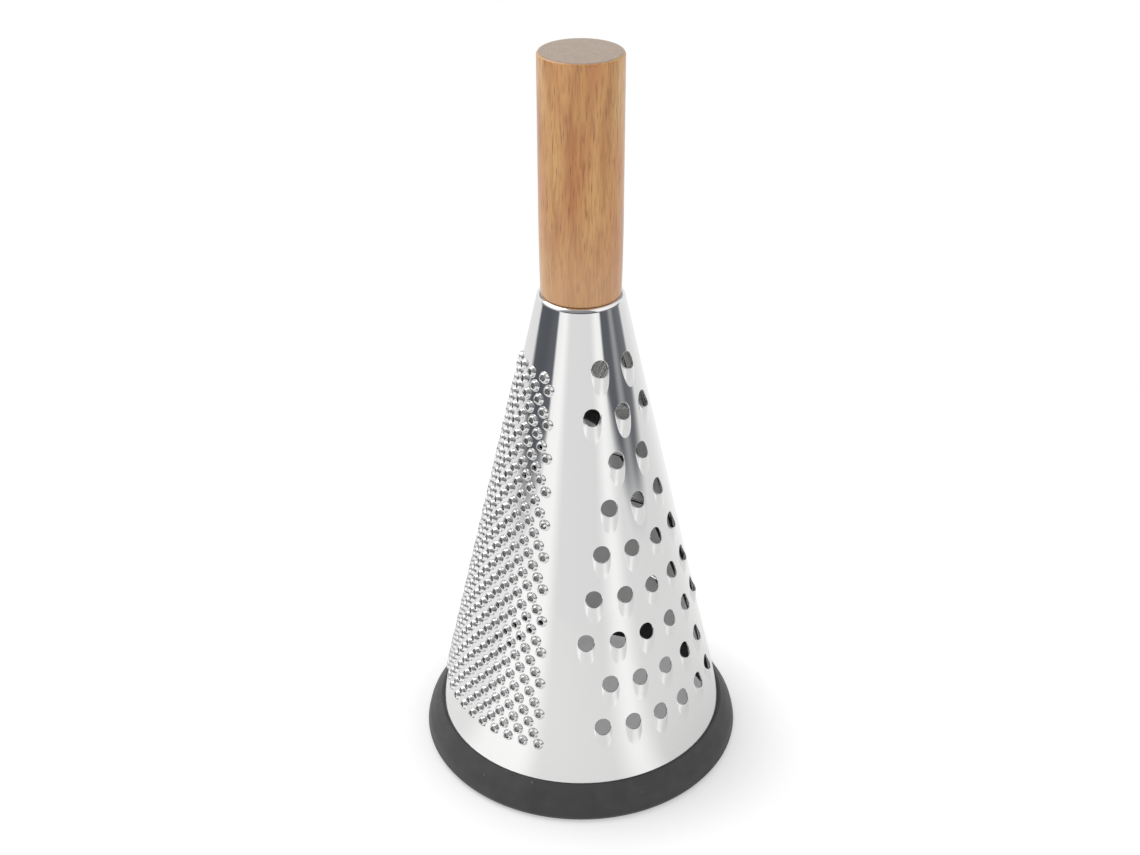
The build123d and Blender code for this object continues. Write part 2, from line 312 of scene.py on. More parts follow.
# Fine craters: circles whose radius and height follow the zone's list of rings. Height and lean differ a little
# from tooth to tooth.
def fineCraters(zone):
    directions, slants = toothRows(zone)
    rng = np.random.default_rng(zone["seed"])
    each = (len(directions), 1, 1)
    around = allRound(zone["segments"])
    rings = np.array(zone["rings"])
    ringRadius, ringHeight = rings[:, 0][None, :, None], rings[:, 1][None, :, None]
    crest = np.clip(ringHeight / rings[:, 1].max(), 0.0, 1.0)
    taller = 1.0 + zone["unevenness"] * rng.uniform(*zone["heightSpread"], each)
    out = ringHeight * np.where(ringHeight > 0, taller, 1.0)
    x = ringRadius * np.cos(around) + crest * zone["unevenness"] * rng.uniform(-1.0, 1.0, each)
    y = ringRadius * np.sin(around) + crest * zone["unevenness"] * rng.uniform(-1.0, 1.0, each)
    return *unrolledPlace(x, y, directions, slants), out


# Rises smoothly from 0 to 1 as the share does: 3 share squared - 2 share cubed, level beyond both ends.
def smoothRise(share):
    share = np.clip(share, 0.0, 1.0)
    return share**2 * (3.0 - 2.0 * share)


# A hood's height: its crest's, which falls off down the tooth, times a round section across it. It stops short
# above the opening's middle.
def hoodHeight(zone, x, y):
    down = np.clip((-y - zone["opening"]) / zone["hoodLength"], 0.0, 1.0)
    lower = np.clip(-y / (zone["opening"] + zone["hoodLength"]), 0.0, 1.0)
    squareness = zone["hoodSquareness"]
    width = np.maximum(zone["hoodHalfWidth"] * (1.0 - lower**squareness) ** (1.0 / squareness), 1e-6)
    section = np.clip(1.0 - (x / width) ** 2, 0.0, 1.0) ** zone["hoodRound"]
    return (zone["hoodHeight"] * (1.0 - down) ** zone["hoodFall"] * section
            * smoothRise((zone["fadeFrom"] - y) / zone["fadeLength"]))


# Hooded teeth. The rings run from the hood's edge on the sheet, a half circle above and a long half superellipse
# below, to the round opening, over its edge and back inside.
def coarseHoods(zone):
    directions, slants = toothRows(zone)
    around = allRound(zone["segments"]) + pi / zone["segments"]
    sines, cosines = np.sin(around), np.cos(around)
    reach = zone["opening"] + zone["hoodLength"]
    power = np.where(sines > 0, 1.0, 2.0 / zone["hoodSquareness"])
    edgeX = zone["hoodHalfWidth"] * np.sign(cosines) * np.abs(cosines) ** power
    edgeY = np.where(sines > 0, zone["hoodHalfWidth"], -reach) * np.abs(sines) ** power

    def ringAt(share, depth, wider=zone["edgeRound"]):
        holeX, holeY = (zone["opening"] + wider) * cosines, (zone["opening"] + wider) * sines
        x, y = edgeX + (holeX - edgeX) * share, edgeY + (holeY - edgeY) * share
        return x, y, hoodHeight(zone, x, y) * (share > 0) - depth

    rings = [ringAt(share, 0.0) for share in zone["outerShares"]]
    rings += [ringAt(1.0, depth, wider) for depth, wider in zone["edgeRings"]]
    rings += [ringAt(share, thickness) for share in zone["innerShares"]]
    x, y, out = (np.stack(parts)[None] for parts in zip(*rings))
    return *unrolledPlace(x, y, directions, slants), out


# Slicing slots: the same build as a hood, but their lines follow the rows round the cone. Along goes from -1 to 1
# over the slot's half angle, and across from -1 to 1 over its gap. The lip dies away at both ends.
def slicingSlots(zone):
    heights = zone["firstHeight"] + np.arange(zone["rows"]) * zone["rowStep"]
    slants = slantAt(heights)[:, None, None]
    radii = slants * sinTilt
    around = allRound(zone["segments"]) + pi / zone["segments"]
    sines, cosines = np.sin(around), np.cos(around)
    along = np.sign(cosines) * np.abs(cosines) ** zone["endRound"]
    across = np.sign(sines) * np.abs(sines) ** zone["sideRound"]
    lip = zone["lipHeight"] * (1.0 - np.abs(along) ** zone["lipSquareness"]) * smoothRise(-across / zone["lipFrom"])

    def ringAt(share, depth):
        edge, ramp = (zone["gap"] / 2 + zone[wide] * (1 - share) for wide in ("edgeWidth", "rampLength"))
        x = along * (radii * radians(zone["halfAngle"]) + zone["edgeWidth"] * (1 - share))
        y = np.where(across > 0, edge, ramp) * across
        return np.broadcast_arrays(x, y, lip * share ** zone["lipRise"] - depth)

    rings = [ringAt(share, 0.0) for share in zone["outerShares"]]
    rings += [ringAt(1.0, depth) for depth in zone["edgeDepths"]]
    rings += [ringAt(share, thickness) for share in zone["innerShares"]]
    x, y, out = (np.concatenate(parts, 1) for parts in zip(*rings))
    return radians(zone["centre"]) + x / radii, slants - y, out


seam = radians(coneSheet["seamDirection"])
halfSeam = radians(coneSheet["seamAngle"]) / 2
columns = np.linspace(seam + halfSeam, seam + 2 * pi - halfSeam, coneSheet["columns"] + 1)
columnsAndSeam = np.append(columns, seam + 2 * pi)
slantTop = slantAt(coneSheet["shoulderHeight"]) + coneSheet["bend"] * np.tan((pi / 2 - tilt) / 2)
slantRim = slantAt(coneSheet["rimHeight"])
rows = np.linspace(slantTop, slantRim, int((slantRim - slantTop) / coneSheet["rowStep"]) + 2)

patches = [fineCraters(fineTeeth), coarseHoods(coarseTeeth), slicingSlots(slots)]
for number, (direction, slant, out) in enumerate(patches):
    shift = np.where(direction.mean(axis=(1, 2), keepdims=True) < seam, 2 * pi, 0.0)
    patches[number] = (direction + shift, slant, out)
print("teeth worked out:", ", ".join(str(len(patch[0])) for patch in patches))

# Plain sheet between the teeth: the unrolled sheet is cut into triangles that keep each tooth's edge, from points
# on a grid of directions and slants that stays clear of the teeth.
gridDirection, gridSlant = (values.ravel() for values in np.meshgrid(columns, rows))
keep = np.ones(len(gridDirection), bool)
clearance = coneSheet["clearance"]
for direction, slant, _ in patches:
    for toothDirection, toothSlant in zip(direction[:, 0], slant[:, 0]):
        left, right = toothDirection.min(), toothDirection.max()
        aside = np.abs(gridDirection - (right + left) / 2) > (right - left) / 2 + clearance / (gridSlant * sinTilt)
        keep &= aside | (gridSlant < toothSlant.min() - clearance) | (gridSlant > toothSlant.max() + clearance)
keep |= np.isin(gridDirection, columns[[0, -1]]) | np.isin(gridSlant, rows[[0, -1]])
gridDirection, gridSlant = gridDirection[keep], gridSlant[keep]

# Each point's owner is the tooth or the edge of the sheet that it is on, or -1. A triangle with one owner lies in
# that tooth or beyond that edge, so it goes.
flatDirection, flatSlant = [gridDirection], [gridSlant]
owner = [np.select([gridDirection == columns[0], gridDirection == columns[-1], gridSlant == rows[0]], [1, 2, 0], -1)]
loops, total, nextOwner = [], len(gridDirection), 3
for direction, slant, _ in patches:
    teeth, _, segments = direction.shape
    flatDirection.append(direction[:, 0].ravel())
    flatSlant.append(slant[:, 0].ravel())
    owner.append(np.repeat(np.arange(nextOwner, nextOwner + teeth), segments))
    index = total + np.arange(teeth * segments).reshape(teeth, segments)
    loops.append(np.stack([index, np.roll(index, -1, axis=1)], -1).reshape(-1, 2))
    total += teeth * segments
    nextOwner += teeth
flatDirection, flatSlant, owner = np.concatenate(flatDirection), np.concatenate(flatSlant), np.concatenate(owner)
flatAngle = (flatDirection - seam - pi) * sinTilt
unrolled = np.stack([flatSlant * np.sin(flatAngle), -flatSlant * np.cos(flatAngle)], -1)
found = delaunay_2d_cdt([tuple(point) for point in unrolled.tolist()], np.concatenate(loops).tolist(), [], 0, 1e-5)
origin = np.array([origins[0] if origins else -1 for origins in found[3]])
plain = origin[np.array(found[2])]
owners = owner[plain]
oneOwner = (owners >= 0).all(axis=1) & (owners == owners[:, :1]).all(axis=1)
alongTop = (flatSlant[plain] == rows[0]).all(axis=1)
plain = plain[~oneOwner & ~alongTop & (plain >= 0).all(axis=1)]
print("plain sheet:", len(plain), "triangles")

coneParts = {"points": [], "quads": [], "triangles": [], "normals": [], "given": []}


# Adds a part of the cone, whose faces are numbered from its own first point.
def addPart(places, quads=None, triangles=None, outward=None):
    start = sum(len(added) for added in coneParts["points"])
    places = places.reshape(-1, 3)
    coneParts["points"].append(places)
    coneParts["normals"].append(np.zeros_like(places) if outward is None else outward)
    coneParts["given"].append(np.full(len(places), outward is not None))
    if quads is not None:
        coneParts["quads"].append(quads + start)
    if triangles is not None:
        coneParts["triangles"].append(triangles + start)


addPart(sheetPoint(flatDirection, flatSlant, 0.0), triangles=plain, outward=sheetNormal(flatDirection, 1.0))
addPart(sheetPoint(flatDirection, flatSlant, -thickness), triangles=plain[:, ::-1],
        outward=sheetNormal(flatDirection, -1.0))
for direction, slant, out in patches:
    teeth, rings, segments = direction.shape
    firstPoints = (np.arange(teeth) * rings * segments)[:, None, None]
    addPart(sheetPoint(direction, slant, out), quads=(gridFaces(rings, segments) + firstPoints).reshape(-1, 4))

# Shoulder, land and screw hole, then the inside of the same.
shoulderRadius, top, hole, bend, holeEdge = (
    coneSheet[name] for name in ("shoulderRadius", "shoulderHeight", "screwHole", "bend", "holeEdge"))
outerTop = (slantTop * sinTilt, apexHeight - slantTop * cosTilt)
innerTop = (outerTop[0] - thickness * cosTilt, outerTop[1] - thickness * sinTilt)
landInside = shoulderRadius - thickness * np.tan((pi / 2 - tilt) / 2)
profile, profileNormals = roundedProfile(
    [(*outerTop, 0.0), (shoulderRadius, top, bend), (hole, top, holeEdge), (hole, top - thickness, holeEdge),
     (landInside, top - thickness, bend - thickness), (*innerTop, 0.0)], arcStep=coneSheet["bendStep"])
places, outward, faces = turnedSurface(profile, profileNormals, columnsAndSeam)
addPart(places, quads=faces, outward=outward)


# A band of sheet between lines of one direction each, at the slants given, with its own distance out at each point.
def sheetBand(directions, slants, out, closed=False, flip=False):
    faces = gridFaces(len(slants), len(directions))
    if not closed:
        faces = faces[faces[:, 0] % len(directions) < len(directions) - 1]
    addPart(sheetPoint(np.array(directions)[None, :], slants[:, None], out), quads=faces if flip else faces[:, ::-1])


# The seam's line outside, a shallow groove that runs out at both ends, and the sheet behind it.
seamEdges = [seam - halfSeam, seam, seam + halfSeam]
betweenEnds = ((rows > rows[0]) & (rows < rows[-1]))[:, None]
sheetBand(seamEdges, rows, betweenEnds * np.array([0.0, -coneSheet["seamDepth"], 0.0]))
sheetBand(seamEdges, rows, -thickness, flip=True)

# Rim at the foot, from the outside to the inside.
addPart(sheetPoint(columnsAndSeam[None, :], slantRim, np.array([[-thickness], [0.0]])),
        quads=gridFaces(2, len(columnsAndSeam)))

# The seam's lap on the inside, a strip of the same sheet with its ends worked flat.
lapAcross = seam + radians(coneSheet["lapAngle"]) * np.linspace(-0.5, 0.5, coneSheet["lapColumns"])
lapAlong = np.linspace(slantAt(coneSheet["lapHigh"]), slantAt(coneSheet["lapLow"]), coneSheet["lapRows"])
betweenEnds = ((lapAlong > lapAlong[0]) & (lapAlong < lapAlong[-1]))[:, None]
lapRoot = -coneSheet["lapSunk"] * thickness
sheetBand(np.concatenate([lapAcross, lapAcross[::-1]]), lapAlong,
          lapRoot + betweenEnds * np.repeat([-2 * thickness - lapRoot, 0.0], coneSheet["lapColumns"]),
          closed=True, flip=True)

coneMesh = weldedMesh("graterCone", **{name: np.concatenate(added) for name, added in coneParts.items()})
newPiece("graterCone", coneMesh, "grater_cone")
print("cone:", len(coneMesh.vertices), "points,", len(coneMesh.polygons), "faces")


# handle and foot ring

turnedHandle = {
    "foot": 196.0,
    "top": 284.0,
    "radius": 15.0,
    "footRadius": 14.6,
    "slimLength": 30.0,
    "slimSteps": 8,
    "slimRounding": 4.0,
    "topEdge": 1.2,
    "footEdge": 0.7,
    "boreRadius": 4.05,
    "boreDepth": 19.0,
    "boreEdge": 0.1,
    "flangeRadius": 5.25,
    "flangeDepth": 1.0,
    "columns": 128,
}
footRing = {
    "corners": (                # radius, height and rounding, from the inside of the foot outwards and up
        (55.47, 0.0, 0.5), (62.45, 0.0, 0.8), (63.75, 2.2, 1.6), (62.75, 6.4, 6.0), (60.3, 10.6, 6.0),
        (57.9, 13.4, 0.4), (56.95, 13.4, 0.1), (58.89, 5.0, 0.1), (58.07, 5.0, 0.1),    # and the groove for the rim
        (56.84, 10.5, 0.3), (55.47, 10.5, 0.5)),
    "arcStep": 8.0,
    "columns": 160,
}

foot, top, boreEdge = turnedHandle["foot"], turnedHandle["top"], turnedHandle["boreEdge"]
boreTop, flangeTop = foot + turnedHandle["boreDepth"], foot + turnedHandle["flangeDepth"]
slimmer = turnedHandle["radius"] - turnedHandle["footRadius"]
slimShares = np.linspace(0.0, 1.0, turnedHandle["slimSteps"] + 1)[1:]
handleCorners = [
    (0.0, boreTop, 0.0), (turnedHandle["boreRadius"], boreTop, boreEdge),
    (turnedHandle["boreRadius"], flangeTop, boreEdge), (turnedHandle["flangeRadius"], flangeTop, boreEdge),
    (turnedHandle["flangeRadius"], foot, boreEdge), (turnedHandle["footRadius"], foot, turnedHandle["footEdge"]),
    *((turnedHandle["footRadius"] + slimmer * (1 - (1 - share) ** 2), foot + turnedHandle["slimLength"] * share,
       turnedHandle["slimRounding"]) for share in slimShares),
    (turnedHandle["radius"], top, turnedHandle["topEdge"]), (0.0, top, 0.0)]
places, outward, faces = turnedSurface(*roundedProfile(handleCorners), allRound(turnedHandle["columns"]))
handleMesh = weldedMesh("turnedHandle", places, faces, normals=outward)
newPiece("turnedHandle", handleMesh, "handle")

profile, profileNormals = roundedProfile(footRing["corners"], closed=True, arcStep=footRing["arcStep"])
places, outward, faces = turnedSurface(profile, profileNormals, allRound(footRing["columns"]), closed=True)
ringMesh = weldedMesh("footRing", places, faces, normals=outward)
newPiece("footRing", ringMesh, "base_ring")
print("handle and foot ring made")


# materials

# Sets a socket to a value, or links the output that feeds it. A colour may be one tone or red, green and blue.
def fillSocket(tree, socket, value):
    if isinstance(value, bpy.types.NodeSocket):
        tree.links.new(value, socket)
    elif socket.type == "RGBA":
        socket.default_value = (value, value, value, 1.0) if isinstance(value, float) else (*value, 1.0)
    else:
        socket.default_value = value


def newNode(tree, kind, sockets, **settings):
    node = tree.nodes.new("ShaderNode" + kind)
    for name, value in settings.items():
        setattr(node, name, value)
    for name, value in sockets.items():
        fillSocket(tree, node.inputs[name], value)
    return node


def calculated(tree, operation, *values, **settings):
    return newNode(tree, "Math", dict(enumerate(values)), operation=operation, **settings).outputs[0]


def objectPlace(tree):
    return newNode(tree, "TexCoord", {}).outputs["Object"]


def distanceFrom(tree, place):
    return newNode(tree, "VectorMath", {0: place}, operation="LENGTH").outputs["Value"]


def axisParts(tree, place):
    return newNode(tree, "SeparateXYZ", {0: place}).outputs


# Goes from low to high while the value goes from start to end, in a straight line or easing in and out.
def ranged(tree, value, start, end, low=0.0, high=1.0, easing=False):
    sockets = {"Value": value, "From Min": start, "From Max": end, "To Min": low, "To Max": high}
    way = "SMOOTHSTEP" if easing else "LINEAR"
    return newNode(tree, "MapRange", sockets, interpolation_type=way).outputs["Result"]


def mixedColour(tree, share, first, second):
    return newNode(tree, "Mix", {"Factor": share, "A": first, "B": second}, data_type="RGBA").outputs["Result"]


def addBump(tree, shader, height, strength, depth, **settings):
    bump = newNode(tree, "Bump", {"Height": height, "Strength": strength, "Distance": depth * mm}, **settings)
    tree.links.new(bump.outputs["Normal"], shader.inputs["Normal"])


# A new material, its tree and its shader. Further sockets of the shader are named with _ for a space.
def newMaterial(name, colour, metallic, roughness, **sockets):
    material = bpy.data.materials.new(name)
    material.use_nodes = True
    material.diffuse_color = (*colour, 1.0)
    tree = material.node_tree
    shader = tree.nodes["Principled BSDF"]
    sockets = {"Base Color": colour, "Metallic": metallic, "Roughness": roughness,
               **{socket.replace("_", " "): value for socket, value in sockets.items()}}
    for socket, value in sockets.items():
        fillSocket(tree, shader.inputs[socket], value)
    return material, tree, shader


# A group for patterns, with a place, a fineness and a stretch as its first inputs and one output. The stretched
# place is ready in it.
def newPattern(name, output, **inputs):
    group = bpy.data.node_groups.new(name, "ShaderNodeTree")
    sockets = {"Place": None, "Fineness": 400.0, "Stretch": (1.0, 1.0, 1.0), **inputs}
    for socket, value in sockets.items():
        kind = "NodeSocketFloat" if isinstance(value, float) else "NodeSocketVector"
        made = group.interface.new_socket(name=socket, in_out="INPUT", socket_type=kind)
        if value is not None:
            made.default_value = value
    group.interface.new_socket(name=output, in_out="OUTPUT", socket_type="NodeSocketFloat")
    given = group.nodes.new("NodeGroupInput").outputs
    result = group.nodes.new("NodeGroupOutput").inputs[output]
    stretched = newNode(group, "VectorMath", {0: given["Place"], 1: given["Stretch"]}, operation="MULTIPLY")
    return group, given, stretched.outputs[0], result


# One of those groups in a material. Returns its output.
def pattern(tree, group, place, **values):
    return newNode(tree, "Group", {"Place": place, **values}, node_tree=group).outputs[0]


# Mottle: noise stretched along one axis and spread between two values. The noise keeps mostly to 0.3 to 0.7.
mottle, given, stretched, result = newPattern("mottle", "Value", Low=0.0, High=1.0)
noise = newNode(mottle, "TexNoise", {"Vector": stretched, "Scale": given["Fineness"], "Detail": 3.0}).outputs["Fac"]
mottle.links.new(ranged(mottle, noise, 0.3, 0.7, given["Low"], given["High"]), result)

# Specks: small spots in some of the cells of a cell pattern, such as dust or open pores.
specks, given, stretched, result = newPattern("specks", "Mask", Share=0.1, Spot=0.2)
cells = newNode(specks, "TexVoronoi", {"Vector": stretched, "Scale": given["Fineness"]}).outputs
cellValue = newNode(specks, "SeparateColor", {"Color": cells["Color"]}).outputs["Red"]
chosen = calculated(specks, "LESS_THAN", cellValue, given["Share"])
spot = ranged(specks, cells["Distance"], 0.0, given["Spot"], 1.0, 0.0)
specks.links.new(calculated(specks, "MULTIPLY", chosen, spot), result)

# Polished steel: nearly a mirror, with a faint long waviness from rolling and a slightly uneven polish. Where it
# was drawn out of the plain cone, the polish is duller.
steelFinish = {
    "colour": (0.852, 0.85, 0.845),
    "roughness": 0.03,
    "polish": (0.8, 1.5),       # the lowest and the highest roughness, as shares of that
    "polishPattern": {"Fineness": 55.0, "Stretch": (1.0, 1.0, 0.35)},
    "drawnRoughness": 0.22,     # added where the sheet was drawn into teeth
    "drawn": (0.1, 0.6),        # how far out of the cone that begins and is complete
    "waves": {"Fineness": 38.0, "Stretch": (1.0, 1.0, 0.22)},
    "waveStrength": 0.25,
    "waveDepth": 0.12,
}
steel, tree, shader = newMaterial("polishedSteel", steelFinish["colour"], 1.0, steelFinish["roughness"])
place = objectPlace(tree)
low, high = (steelFinish["roughness"] * share for share in steelFinish["polish"])
polish = pattern(tree, mottle, place, Low=low, High=high, **steelFinish["polishPattern"])
fromAxis = newNode(tree, "VectorMath", {0: place, 1: (1.0, 1.0, 0.0)}, operation="MULTIPLY").outputs["Vector"]
fromApex = calculated(tree, "MULTIPLY_ADD", axisParts(tree, place)["Z"], sinTilt, -apexHeight * sinTilt * mm)
offCone = calculated(tree, "MULTIPLY_ADD", distanceFrom(tree, fromAxis), cosTilt, fromApex)
begins, complete = (length * mm for length in steelFinish["drawn"])
drawn = ranged(tree, offCone, begins, complete, high=steelFinish["drawnRoughness"], easing=True)
tree.links.new(calculated(tree, "ADD", drawn, polish), shader.inputs["Roughness"])
addBump(tree, shader, pattern(tree, mottle, place, **steelFinish["waves"]), steelFinish["waveStrength"],
        steelFinish["waveDepth"])
coneMesh.materials.append(steel)

# Acacia: broad warm and pale bands along the handle, fine reddish streaks, dark open pores, and a greyer end grain.
woodFinish = {
    "pale": (0.820, 0.480, 0.175),
    "middle": (0.650, 0.262, 0.086),
    "foot": (0.850, 0.560, 0.320),
    "red": (0.400, 0.135, 0.036),
    "dark": (0.115, 0.042, 0.018),
    "end": (0.440, 0.330, 0.238),
    "layers": (                 # colour, how much of it, and its pattern, over the middle colour
        ("pale", 0.85, mottle, {"Fineness": 70.0, "Stretch": (1.0, 1.0, 0.3), "Low": -0.2, "High": 1.1}),
        ("red", 0.50, mottle, {"Fineness": 230.0, "Stretch": (1.0, 1.0, 0.11), "Low": -0.8, "High": 1.1}),
        ("red", 0.58, mottle, {"Fineness": 1700.0, "Stretch": (1.0, 1.0, 0.07), "Low": -0.75, "High": 1.1}),
        ("dark", 0.72, specks, {"Fineness": 1700.0, "Stretch": (1.0, 1.0, 0.1), "Share": 0.24, "Spot": 0.45})),
    "endLayer": ("dark", 0.28, mottle, {"Fineness": 1500.0, "Stretch": (1.0, 1.0, 0.05), "Low": -0.3, "High": 1.0}),
    "endDepth": (0.35, 0.05),   # below the top, where the end grain begins and is complete
    "footPale": (8.0, 38.0),    # above the foot, where the wood's paleness there begins to fade and is gone
    "footPaleShare": 0.32,
    "roughness": 0.42,
    "gloss": {"Fineness": 500.0, "Stretch": (1.0, 1.0, 0.06), "Low": 0.36, "High": 0.52},
    "coat": 0.55,
    "coatRoughness": 0.2,
    "poreStrength": 0.5,
    "poreDepth": 0.1,
}
wood, tree, shader = newMaterial("acacia", woodFinish["middle"], 0.0, woodFinish["roughness"],
                                 Coat_Weight=woodFinish["coat"], Coat_Roughness=woodFinish["coatRoughness"])
place = objectPlace(tree)


# A colour laid over another where its pattern shows. Returns the new colour and where it shows.
def woodLayer(under, colour, amount, group, values):
    shown = calculated(tree, "MULTIPLY", pattern(tree, group, place, **values), amount, use_clamp=True)
    return mixedColour(tree, shown, under, woodFinish[colour]), shown


colour = woodFinish["middle"]
for layer in woodFinish["layers"]:
    colour, pores = woodLayer(colour, *layer)       # the last layer is the pores
height = axisParts(tree, place)["Z"]
fadeFrom, fadeTo = ((turnedHandle["foot"] + above) * mm for above in woodFinish["footPale"])
nearFoot = ranged(tree, height, fadeFrom, fadeTo, low=woodFinish["footPaleShare"], high=0.0)
colour = mixedColour(tree, nearFoot, colour, woodFinish["foot"])
endFrom, endTo = ((turnedHandle["top"] - below) * mm for below in woodFinish["endDepth"])
endGrain, _ = woodLayer(woodFinish["end"], *woodFinish["endLayer"])
colour = mixedColour(tree, ranged(tree, height, endFrom, endTo), colour, endGrain)
tree.links.new(colour, shader.inputs["Base Color"])
tree.links.new(pattern(tree, mottle, place, **woodFinish["gloss"]), shader.inputs["Roughness"])
addBump(tree, shader, pores, woodFinish["poreStrength"], woodFinish["poreDepth"], invert=True)
handleMesh.materials.append(wood)

# Rubber: matte charcoal, faintly mottled, with a little pale dust and a fine moulded grain.
rubberFinish = {
    "colour": (0.052, 0.052, 0.053),
    "dustColour": (0.42, 0.42, 0.42),
    "roughness": 0.72,
    "sheen": 0.18,
    "sheenRoughness": 0.45,
    "mottle": {"Fineness": 130.0, "Low": 0.0, "High": 0.16},
    "mottleShare": 0.3,
    "dust": {"Fineness": 420.0, "Share": 0.035, "Spot": 0.2},
    "dustShare": 0.45,
    "grainFineness": 2600.0,
    "grainStrength": 0.25,
    "grainDepth": 0.05,
}
rubber, tree, shader = newMaterial("footRubber", rubberFinish["colour"], 0.0, rubberFinish["roughness"],
                                   Sheen_Weight=rubberFinish["sheen"], Sheen_Roughness=rubberFinish["sheenRoughness"])
place = objectPlace(tree)
mottled = pattern(tree, mottle, place, **rubberFinish["mottle"])
mottled = calculated(tree, "MULTIPLY", mottled, rubberFinish["mottleShare"])
dusty = pattern(tree, specks, place, **rubberFinish["dust"])
dusty = calculated(tree, "MULTIPLY", dusty, rubberFinish["dustShare"])
paler = calculated(tree, "ADD", dusty, mottled, use_clamp=True)
colour = mixedColour(tree, paler, rubberFinish["colour"], rubberFinish["dustColour"])
tree.links.new(colour, shader.inputs["Base Color"])
addBump(tree, shader, pattern(tree, mottle, place, Fineness=rubberFinish["grainFineness"]),
        rubberFinish["grainStrength"], rubberFinish["grainDepth"])
ringMesh.materials.append(rubber)

# Fastening metals: a plain metal whose tone and gloss vary along its rolling or turning marks.
fastenings = {
    "metals": (                 # name, colour, roughness, fineness and stretch of the marks, and what is made of it
        ("pressedSteel", (0.56, 0.56, 0.57), 0.34, 900.0, (1.0, 0.12, 1.0), ("support_disc",)),
        ("zincPlate", (0.63, 0.64, 0.66), 0.3, 1500.0, (1.0, 1.0, 0.2),
         ("handle_screw", "flat_washer", "lock_washer")),
        ("turnedBrass", (0.72, 0.50, 0.20), 0.28, 1300.0, (0.3, 0.3, 1.0), ("threaded_insert",))),
    "gloss": (0.75, 1.3),       # the lowest and the highest roughness, as shares of the metal's own
    "darker": 0.6,
    "darkerShare": 0.35,
    "darkerFineness": 0.4,      # of the marks' fineness
    "markStrength": 0.3,
    "markDepth": 0.03,
}


def dressNode(node, material):
    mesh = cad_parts[node].data
    if len(mesh.materials):
        for slot in range(len(mesh.materials)):
            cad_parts[node].material_slots[slot].material = material
    else:
        mesh.materials.append(material)


for name, colour, roughness, fineness, stretch, nodes in fastenings["metals"]:
    metal, tree, shader = newMaterial(name, colour, 1.0, roughness)
    place = objectPlace(tree)
    low, high = (roughness * share for share in fastenings["gloss"])
    marks = pattern(tree, mottle, place, Fineness=fineness, Stretch=stretch, Low=low, High=high)
    tree.links.new(marks, shader.inputs["Roughness"])
    tone = pattern(tree, mottle, place, Fineness=fineness * fastenings["darkerFineness"], Stretch=stretch,
                   High=fastenings["darkerShare"])
    darkened = mixedColour(tree, tone, colour, tuple(part * fastenings["darker"] for part in colour))
    tree.links.new(darkened, shader.inputs["Base Color"])
    addBump(tree, shader, marks, fastenings["markStrength"], fastenings["markDepth"])
    for node in nodes:
        dressNode(node, metal)
print("materials made")


# studio

studio = {
    "floorRings": (0.0, 60.0, 100.0, 180.0, 300.0, 420.0),
    "floorColumns": 96,
    "floorColour": 0.74,
    "floorRoughness": 0.9,
    "floorGloss": 0.1,
    "floorLight": 0.84,         # how bright a white floor would be in this light
    # Less light is added at the ring than farther out: a painted shadow on the floor round the ring, over its real
    # one.
    "floorLifts": (0.35, 0.46), # light added to the floor for the camera, up to white: at the ring, and farther out
    "fartherOut": (65.0, 96.0), # radii between which the one becomes the other
    # Less of the added light under the object: painted shade inside the cone.
    "floorUnder": 0.57,         # share of the added light that is left under the object
    "underEdge": (50.0, 62.0),  # radii between which the rest of it comes back
    "roomLight": 0.74,
    "lampPower": 2.6,
    "lampSize": 700.0,
    "lampPlace": (-520.0, 240.0, 900.0),
    # What polished metal sees: how bright the room is at each direction, in degrees from the front to the right.
    "lowTones": (               # the floor and what it runs on into, with a white screen at each side of the front
        (-180.0, 0.86), (-80.0, 0.84), (-58.0, 1.04), (-38.0, 1.06), (-22.0, 0.82), (18.0, 0.80), (36.0, 1.04),
        (54.0, 0.80), (100.0, 0.78), (150.0, 0.92), (180.0, 0.86)),
    "sideTones": (              # near the horizon, where the dark room shows between the screens
        (-180.0, 0.92), (-118.0, 0.92), (-107.0, 0.11), (-80.0, 0.10), (-56.0, 0.13), (-50.0, 1.0), (-36.0, 1.05),
        (-15.0, 0.84), (12.0, 0.80), (26.0, 1.0), (42.0, 1.02), (48.0, 0.12), (62.0, 0.12), (73.0, 0.34),
        (84.0, 0.15), (100.0, 0.18), (112.0, 0.92), (180.0, 0.92)),
    "beltTones": (              # just above them, the dark room along the front, paler to the sides
        (-180.0, 0.92), (-125.0, 0.92), (-108.0, 0.45), (-55.0, 0.40), (-36.0, 0.06), (40.0, 0.06), (60.0, 0.22),
        (104.0, 0.25), (122.0, 0.92), (180.0, 0.92)),
    "highTones": (              # the screens' tops
        (-180.0, 0.30), (-150.0, 0.36), (-130.0, 0.95), (-80.0, 1.05), (-62.0, 1.05), (-54.0, 0.30), (38.0, 0.24),
        (46.0, 1.05), (80.0, 1.05), (130.0, 0.95), (150.0, 0.36), (180.0, 0.30)),
    "overhead": 0.48,
    "changes": (                # sines of the heights between which each gives way to the next, from the low tones up
        (0.26, 0.33, "sideTones"), (0.03, 0.08, "beltTones"), (0.30, 0.42, "highTones"), (0.93, 0.99, "overhead")),
    "sideDrop": 0.55,           # how much deeper the first of these changes lies at the sides than in front
    "slate": 0.025,             # blue added to the dark parts
    "slateGreen": 0.3,          # green added there, as a share of that
}

profile = np.array([(radius, 0.0) for radius in studio["floorRings"]])
places, _, faces = turnedSurface(profile, np.zeros_like(profile), allRound(studio["floorColumns"]))
floorMesh = weldedMesh("floor", places, faces[:, ::-1])
newObject("floor", floorMesh)


